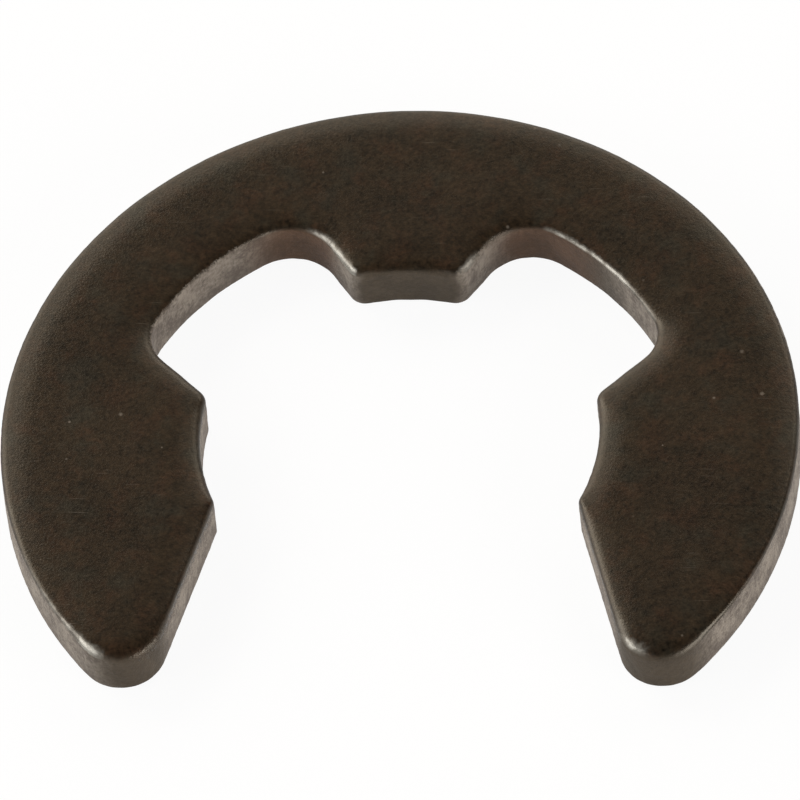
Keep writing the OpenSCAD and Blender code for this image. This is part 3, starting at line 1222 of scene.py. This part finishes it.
@dataclass(frozen=True)
class PhosphateFinish:
    """Dark brown phosphate coat on spring steel: matt on the face, pale rubbed metal with painted highlight
    on the roll, rough on the wall with painted shade in spots of dark coat.

    The heights of the relief are in millimetres.
    """

    face: tuple = rgba(0.0200, 0.0130, 0.0074)
    face_warm: tuple = rgba(0.0256, 0.0140, 0.0078)
    face_grey: tuple = rgba(0.0188, 0.0154, 0.0104)
    face_grain: float = 0.9
    speck: tuple = rgba(0.20, 0.17, 0.14)
    speck_sizes: tuple[tuple[str, float], ...] = (("Per mm", 2.8), ("Size", 0.11), ("Share", 0.30))
    speck_level: float = 0.9
    scratch_share: float = 0.35
    scratch_level: float = 0.6
    wall: tuple = rgba(0.205, 0.178, 0.150)
    wall_dark: tuple = rgba(0.075, 0.059, 0.049)
    wall_tones: Ramp = Ramp(0.40, 0.60)
    fracture_dark: float = 0.4
    # Dark coat colours, partly painted shade on the walls that face -Y.
    coat_and_shade_brown: tuple = rgba(0.066, 0.030, 0.014)
    coat_and_shade_olive: tuple = rgba(0.029, 0.019, 0.010)
    coat_and_shade_brown_from: Ramp = Ramp(3.0, 3.6)
    coat_and_shade_levels: Ramp = Ramp(0.3, 0.7, 0.7, 1.3)
    coat_and_shade_cover: float = 0.94
    # Pale rubbed metal of the roll, partly painted highlight where it faces the left lamps.
    burnish_and_highlight: tuple = rgba(0.245, 0.233, 0.207)
    burnish_and_highlight_metal: float = 0.75
    specular: float = 0.45
    specular_tint: tuple = rgba(1.0, 0.92, 0.78)
    face_roughness: float = 0.29
    edge_roughness: float = 0.62
    roll_roughness: float = 0.40
    wall_roughness: float = 0.65
    crystals_per_mm: float = 26.0
    grain_heights: Ramp = Ramp(0, 1, 0.0030, 0.0014)
    shear_height: float = 0.014
    wear: Wear = Wear()

    def material(self, effects: Effects) -> bpy.types.Material:
        """Builds the material.

        Args:
            effects: The node groups.

        Returns:
            The material.
        """
        made = bpy.data.materials.new(SLOT)
        made.use_nodes = True
        n = RingNodes(made.node_tree)
        zones = self.wear.zones(n)
        shear = n.group(effects.shear, {"Coordinates": n.at})
        wall_colour = self._wall_colour(n, zones.coat_and_shade, shear["Tone"])
        colour = n.mix(zones.bare, self._face_colour(n, effects), wall_colour)
        roughness = n.mix_values(zones.dull, self.face_roughness, self.edge_roughness)
        roughness = n.mix_values(zones.burnish_and_highlight, roughness, self.roll_roughness)
        crystals = n.group(effects.grain, {"Coordinates": n.at, "Per mm": self.crystals_per_mm})["Height"]
        fine = n.product(crystals, n.rise(zones.burnish_and_highlight, self.grain_heights))
        height = n.total(fine, n.product(shear["Height"], zones.bare, self.shear_height))
        bump = n.add("ShaderNodeBump", {"Strength": 1.0, "Distance": MM, "Height": height})
        shader = n.add(
            "ShaderNodeBsdfPrincipled",
            {
                "Base Color": n.mix(zones.burnish_and_highlight, colour, self.burnish_and_highlight),
                "Metallic": n.product(zones.burnish_and_highlight, self.burnish_and_highlight_metal),
                "Roughness": n.mix_values(zones.bare, roughness, self.wall_roughness),
                "Specular IOR Level": self.specular,
                "Specular Tint": self.specular_tint,
                "Normal": bump.outputs["Normal"],
            },
        )
        n.add("ShaderNodeOutputMaterial", {"Surface": shader.outputs["BSDF"]})
        return made

    def _face_colour(self, n: RingNodes, effects: Effects) -> Socket:
        """Colours the face: the mottled coat with pale specks and a few scratches.

        Args:
            n: The finish's nodes.
            effects: The node groups.

        Returns:
            The colour.
        """
        at = {"Coordinates": n.at}
        tones = {"Base": self.face, "Warm": self.face_warm, "Grey": self.face_grey, "Grain": self.face_grain}
        coat = n.group(effects.mottle, at | tones)["Color"]
        specks = n.group(effects.specks, at | dict(self.speck_sizes))["Mask"]
        scratches = n.group(effects.hairlines, at | {"Share": self.scratch_share})["Mask"]
        marks = n.largest(specks, n.product(scratches, self.scratch_level))
        return n.mix(n.product(marks, self.speck_level), coat, self.speck)

    def _wall_colour(self, n: RingNodes, coat_and_shade: Socket, tone: Socket) -> Socket:
        """Colours the wall: pale where it was sheared, darker where it broke, and dark coat, partly painted
        shade, in spots.

        The dark coat is brown deep in the pockets and olive on the prong's tip and the arms' ends; on the
        walls that face -Y it is partly painted shade.

        Args:
            n: The finish's nodes.
            coat_and_shade: Where the wall keeps its dark coat, partly painted shade.
            tone: The sheared wall's light and dark.

        Returns:
            The colour.
        """
        sheared = n.mix(n.rise(tone, self.wall_tones), self.wall_dark, self.wall)
        broken = n.mix(n.product(n.fracture, self.fracture_dark), sheared, self.wall_dark)
        coat = n.mix(n.rise(n.y, self.coat_and_shade_brown_from), self.coat_and_shade_olive, self.coat_and_shade_brown)
        return n.mix(n.product(coat_and_shade, self.coat_and_shade_cover), broken, n.dimmed(coat, n.rise(tone, self.coat_and_shade_levels)))


@dataclass(frozen=True)
class Softbox:
    """A soft lamp: where it stands as seen from the ring, in degrees, its size and how bright its face is."""

    name: str
    azimuth: float
    elevation: float
    width: float
    height: float
    radiance: float
    colour: Triple = (1.0, 1.0, 1.0)
    distance: float = 0.25

    def build(self) -> bpy.types.Object:
        """Makes the lamp, facing the ring.

        Returns:
            The lamp.
        """
        lamp = bpy.data.lights.new(self.name, "AREA")
        lamp.shape = "RECTANGLE"
        lamp.size, lamp.size_y = self.width, self.height
        lamp.energy = self.radiance * math.pi * self.width * self.height
        lamp.color = self.colour
        a, e = math.radians(self.azimuth), math.radians(self.elevation)
        towards = Vector((math.cos(a) * math.cos(e), math.sin(a) * math.cos(e), math.sin(e)))
        made = put_in_scene(self.name, lamp)
        made.location = towards * self.distance
        made.rotation_euler = (-towards).to_track_quat("-Z", "Y").to_euler()
        return made


@dataclass(frozen=True)
class Viewpoint:
    """Where the camera stands: angles in degrees, lengths in metres, and the lens in millimetres."""

    elevation: float = 54.12
    azimuth: float = 7.39
    roll: float = -6.25
    distance: float = 0.36
    look_at: Triple = (-0.086 * MM, 1.153 * MM, 0.0)
    lens: float = 1076.9
    sensor: float = 36.0
    clip: tuple[float, float] = (0.01, 10.0)

    def build(self) -> bpy.types.Object:
        """Makes the camera. Its azimuth is measured from -Y, where the mouth opens, towards +X.

        Returns:
            The camera.
        """
        camera = bpy.data.cameras.new("camera")
        camera.lens, camera.sensor_width = self.lens, self.sensor
        camera.clip_start, camera.clip_end = self.clip
        e, a = math.radians(self.elevation), math.radians(self.azimuth)
        back = Vector((math.sin(a) * math.cos(e), -math.cos(a) * math.cos(e), math.sin(e)))
        right = Vector((math.cos(a), math.sin(a), 0.0))
        upright = Matrix((right, back.cross(right), back)).transposed()
        rolled = upright @ Matrix.Rotation(math.radians(self.roll), 3, "Z")
        made = put_in_scene("camera", camera)
        made.matrix_world = Matrix.Translation(Vector(self.look_at) + back * self.distance) @ rolled.to_4x4()
        bpy.context.scene.camera = made
        return made


@dataclass
class Studio:
    """A plain pale floor with a low backdrop round it, soft lamps and a dim room."""

    softboxes: tuple[Softbox, ...] = (
        Softbox("right_back", 64, 33, 0.12, 0.09, 4.2, (1.0, 0.92, 0.80)),
        Softbox("back", 95, 20, 0.14, 0.11, 2.6, (1.0, 0.92, 0.80)),
        Softbox("left_back", 132, 29, 0.15, 0.15, 6.0, (1.0, 0.92, 0.80)),
        Softbox("left", 162, 26, 0.13, 0.13, 3.5, (1.0, 0.94, 0.86)),
        Softbox("left_strip", 196, 20, 0.15, 0.13, 6.0),
        Softbox("left_front", 226, 24, 0.07, 0.07, 4.0),
        Softbox("right_front", -31, 13, 0.21, 0.13, 8.0, (1.0, 0.96, 0.92)),
    )
    room: tuple = rgba(1.0, 0.95, 0.88)
    room_level: float = 0.03
    paper: tuple = rgba(0.93, 0.93, 0.93)
    white: tuple = rgba(1, 1, 1)
    white_share: float = 0.93
    floor_r: float = 1.0
    floor_gap: float = 0.002 * MM
    backdrop_h: float = 0.22
    sides: int = 96

    def build(self) -> None:
        """Makes the floor, the backdrop, the lamps, the room's light and the camera."""
        floor, backdrop = self._sheets(self._paper())
        for box in self.softboxes:
            box.build()
        self._light_room()
        Viewpoint().build()
        bpy.context.scene.view_settings.view_transform = "Standard"

    def _paper(self) -> bpy.types.Material:
        """Makes white paper, which keeps shadows and shows near white to the camera and in gloss.

        Returns:
            The material.
        """
        made = bpy.data.materials.new("paper")
        made.use_nodes = True
        n = Nodes(made.node_tree)
        rays = n.add("ShaderNodeLightPath").outputs
        seen = n.largest(*(rays[key] for key in ("Is Camera Ray", "Is Glossy Ray", "Is Transmission Ray")))
        matt = n.add("ShaderNodeBsdfDiffuse", {"Color": self.paper}).outputs[0]
        glow = n.add("ShaderNodeEmission", {"Color": self.white, "Strength": 1.0}).outputs[0]
        mixed = n.add("ShaderNodeMixShader", {0: n.product(seen, self.white_share), 1: matt, 2: glow})
        n.add("ShaderNodeOutputMaterial", {"Surface": mixed.outputs[0]})
        return made

    def _sheets(self, paper: bpy.types.Material) -> list[bpy.types.Object]:
        """Makes the floor, a disc just under the ring, and the backdrop, a low round wall on its edge.

        Args:
            paper: Their material.

        Returns:
            The floor and the backdrop.
        """
        turns = [2 * math.pi * k / self.sides for k in range(self.sides)]
        edge = [(self.floor_r * math.cos(t), self.floor_r * math.sin(t)) for t in turns]
        foot, top = ([(x, y, z) for x, y in edge] for z in (-self.floor_gap, self.backdrop_h))
        pairs = [(k, (k + 1) % self.sides) for k in range(self.sides)]
        wall = [(a, a + self.sides, b + self.sides, b) for a, b in pairs]
        made = []
        for name, corners, faces in (("floor", foot, [range(self.sides)]), ("backdrop", foot + top, wall)):
            mesh = bpy.data.meshes.new(name)
            mesh.from_pydata(corners, [], faces)
            mesh.materials.append(paper)
            made.append(put_in_scene(name, mesh))
        return made

    def _light_room(self) -> None:
        """Gives the world its dim even light."""
        world = bpy.data.worlds.new("room")
        world.use_nodes = True
        n = Nodes(world.node_tree)
        light = n.add("ShaderNodeBackground", {"Color": self.room, "Strength": self.room_level})
        n.add("ShaderNodeOutputWorld", {"Surface": light.outputs[0]})
        bpy.context.scene.world = world


def main() -> None:
    """Builds the ring, dresses it and sets up the studio."""
    logging.basicConfig(level=logging.INFO, format="%(message)s")
    finish = PhosphateFinish().material(Effects())
    ring = StampedRing(RingSizes.from_frame()).build()
    ring.data.materials.append(finish)
    node = FRAME["nodes"][NODE]
    node.data.materials.clear()
    node.data.materials.append(finish)
    LOG.info("%s: %d vertices, %d faces", ring.name, len(ring.data.vertices), len(ring.data.polygons))
    Studio().build()


if __name__ == "__main__":
    main()
